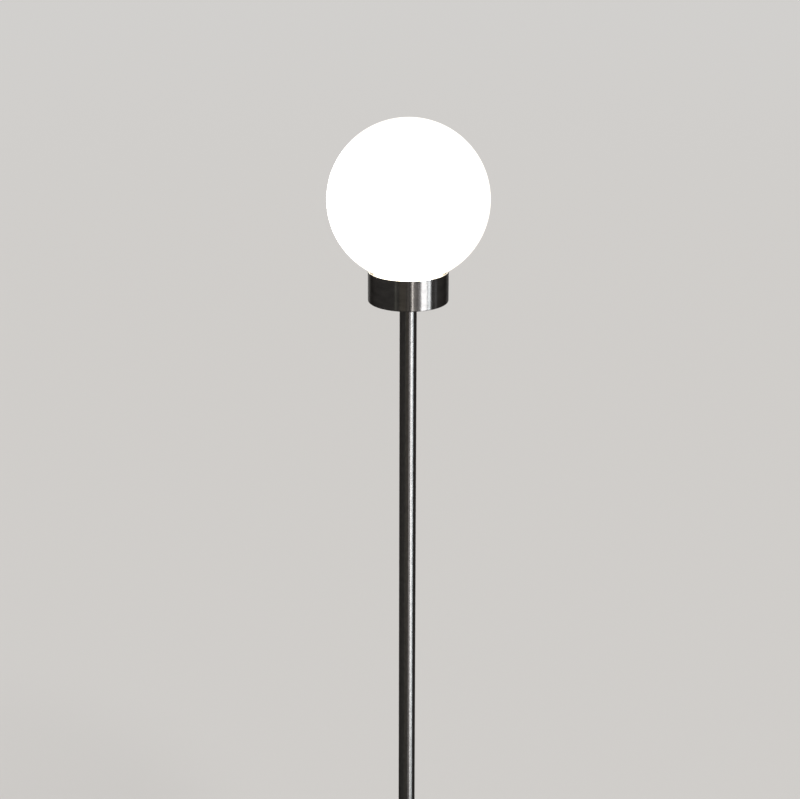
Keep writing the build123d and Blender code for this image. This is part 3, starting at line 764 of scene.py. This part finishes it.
# opal dome of the bulb

bulbDome = {
    "tone": (0.90, 0.88, 0.84),
    "roughness": 0.35,
    "glow": (1.0, 0.93, 0.80),
    "strength": 0.90,
    "lowShare": 0.72,        # of the strength, at the dome's lower edge
    "grain": 1400.0, "patch": 120.0, "bump": 0.08,
}


def makeBulbOpal():
    material, tree, shader = newMaterial(
        "bulbOpal", bulbDome["tone"], Roughness=bulbDome["roughness"]
    )
    shader.inputs["Emission Color"].default_value = (*bulbDome["glow"], 1.0)
    low, high = level("bulb_envelope"), level("bulb_envelope", top=True)
    rise = spreadOver(tree, partsOf(tree, objectPlace(tree))["Z"], bulbDome["lowShare"], 1.0,
                      low, (low + high) / 2)
    lit = math2(tree, "MULTIPLY", rise, bulbDome["strength"])
    tree.links.new(lit, shader.inputs["Emission Strength"])
    skin = placeGroup(tree, surfaceSkin, Grain=bulbDome["grain"], Patch=bulbDome["patch"])
    addBump(tree, shader, skin.outputs["Height"], bulbDome["bump"], plainSkin["bumpDepth"])
    return material


dress(makeBulbOpal(), "bulb_envelope")
print("bulb: dressed")


# rolled thread of the screw cap, and the shell that it turns in

thread = {
    "pitch": 0.003629,
    "depth": 0.00042,        # of a crest over the mean radius
    "around": 96,
    "step": 0.0003,
    "wall": 0.00028,
    "gap": 0.00033,          # between cap and shell, where both have the full thread
    "runOut": 0.0020,        # height over which the thread fades away
    "weld": 1e-7,
    "sharpAngle": 40,        # degrees
}
screwCap = {"plainBelow": 0.0016, "plainAbove": 0.0042, "tuckedIn": 0.0003}
socketShell = {
    "plainBelow": 0.0026, "plainAbove": 0.0002, "flare": 0.00038,
    "floorHole": 0.0105, "floorThick": 0.00045, "tabEnd": 0.004, "tabHalf": 0.0025,
}


def easeIn(height, start, length):
    share = min(1.0, max(0.0, (height - start) / length))
    return share * share * (3 - 2 * share)


def threadWave(angle, height):
    # a right-hand thread that turns about the lamp's axis
    return math.cos(math.tau * height / thread["pitch"] - angle)


def tubeRows(profile, low, high):
    rows = round((high - low) / thread["step"]) + 1
    heights = [low + (high - low) * row / (rows - 1) for row in range(rows)]
    angles = [math.tau * k / thread["around"] for k in range(thread["around"])]
    return [[(profile(a, z) * math.cos(a), profile(a, z) * math.sin(a), z) for a in angles]
            for z in heights]


def flatRing(radius, height):
    return tubeRows(lambda angle, z: radius, height, height + thread["step"])[0]


def behindTab(start, end, tab):
    # whether the side of a ring from start to end is where the tab is drawn out
    return min(-start[0], -end[0]) > 0 and max(abs(start[1]), abs(end[1])) <= tab["half"]


def ringsMesh(name, rings, tab=None):
    # a closed skin through a loop of rings, with a tab drawn out of the last wall but one
    count = thread["around"]
    points = [point for ring in rings for point in ring]
    faces = []
    for row in range(len(rings)):
        nextRow = (row + 1) % len(rings)
        for k in range(count):
            after = (k + 1) % count
            corners = [row * count + k, row * count + after,
                       nextRow * count + after, nextRow * count + k]
            p, q, r, s = corners
            drawn = tab and row == len(rings) - 2 and behindTab(points[p], points[q], tab)
            if not drawn:
                faces.append(corners)
                continue
            a, b, c, d = range(len(points), len(points) + 4)
            points += [(-tab["end"], points[corner][1], points[corner][2]) for corner in corners]
            faces += [(a, b, c, d), (p, q, b, a), (r, s, d, c), (s, p, a, d), (q, r, c, b)]
    mesh = bpy.data.meshes.new(name)
    mesh.from_pydata(points, [], faces)
    skin = bmesh.new()
    skin.from_mesh(mesh)
    bmesh.ops.remove_doubles(skin, verts=skin.verts, dist=thread["weld"])
    # walls between neighbouring strips of the tab cancel out
    doubled = {}
    for face in skin.faces:
        doubled.setdefault(frozenset(v.index for v in face.verts), []).append(face)
    inner = [face for twins in doubled.values() if len(twins) > 1 for face in twins]
    bmesh.ops.delete(skin, geom=inner, context="FACES_ONLY")
    bmesh.ops.recalc_face_normals(skin, faces=skin.faces)
    skin.to_mesh(mesh)
    skin.free()
    mesh.shade_smooth()
    mesh.set_sharp_from_angle(angle=math.radians(thread["sharpAngle"]))
    piece = bpy.data.objects.new(name, mesh)
    bpy.context.scene.collection.objects.link(piece)
    receivers["soft"].objects.link(piece)
    return piece


def threadShare(height, low, high, ends):
    # how much of the thread is left near either end
    begin = easeIn(height, low + ends["plainBelow"], thread["runOut"])
    return begin, easeIn(high - height, ends["plainAbove"], thread["runOut"])


def makeScrewCap():
    low, high = level("bulb_screw_cap"), level("bulb_screw_cap", top=True)
    mean = radiusOf("bulb_screw_cap")

    def outside(angle, height):
        begin, finish = threadShare(height, low, high, screwCap)
        radius = mean + thread["depth"] * threadWave(angle, height) * begin * finish
        return radius - screwCap["tuckedIn"] * (1 - begin)

    def inside(angle, height):
        return outside(angle, height) - thread["wall"]

    rings = tubeRows(outside, low, high) + tubeRows(inside, low, high)[::-1]
    piece = ringsMesh("screwCapThread", rings)
    piece.data.materials.append(finished["rolledCap"])
    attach(piece, "bulb")
    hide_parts("bulb_screw_cap")


def makeSocketThread():
    low, high = level("socket_shell"), level("socket_shell", top=True)
    mean = radiusOf("bulb_screw_cap") + thread["gap"]

    def inside(angle, height):
        begin, finish = threadShare(height, low, high, socketShell)
        share = begin * finish
        wave = thread["depth"] * threadWave(angle, height) * share
        return mean + wave + socketShell["flare"] * (1 - share)

    def outside(angle, height):
        return inside(angle, height) + thread["wall"]

    floorTop, hole = low + socketShell["floorThick"], socketShell["floorHole"]
    rings = tubeRows(outside, low, high) + tubeRows(inside, floorTop, high)[::-1]
    rings += [flatRing(hole, floorTop), flatRing(hole, low)]
    piece = ringsMesh("socketThread", rings, {
        "end": socketShell["tabEnd"], "half": socketShell["tabHalf"],
    })
    piece.data.materials.append(finished["nickelPlate"])
    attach(piece, "stand")
    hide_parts("socket_shell")


makeScrewCap()
makeSocketThread()
print("threads: made")
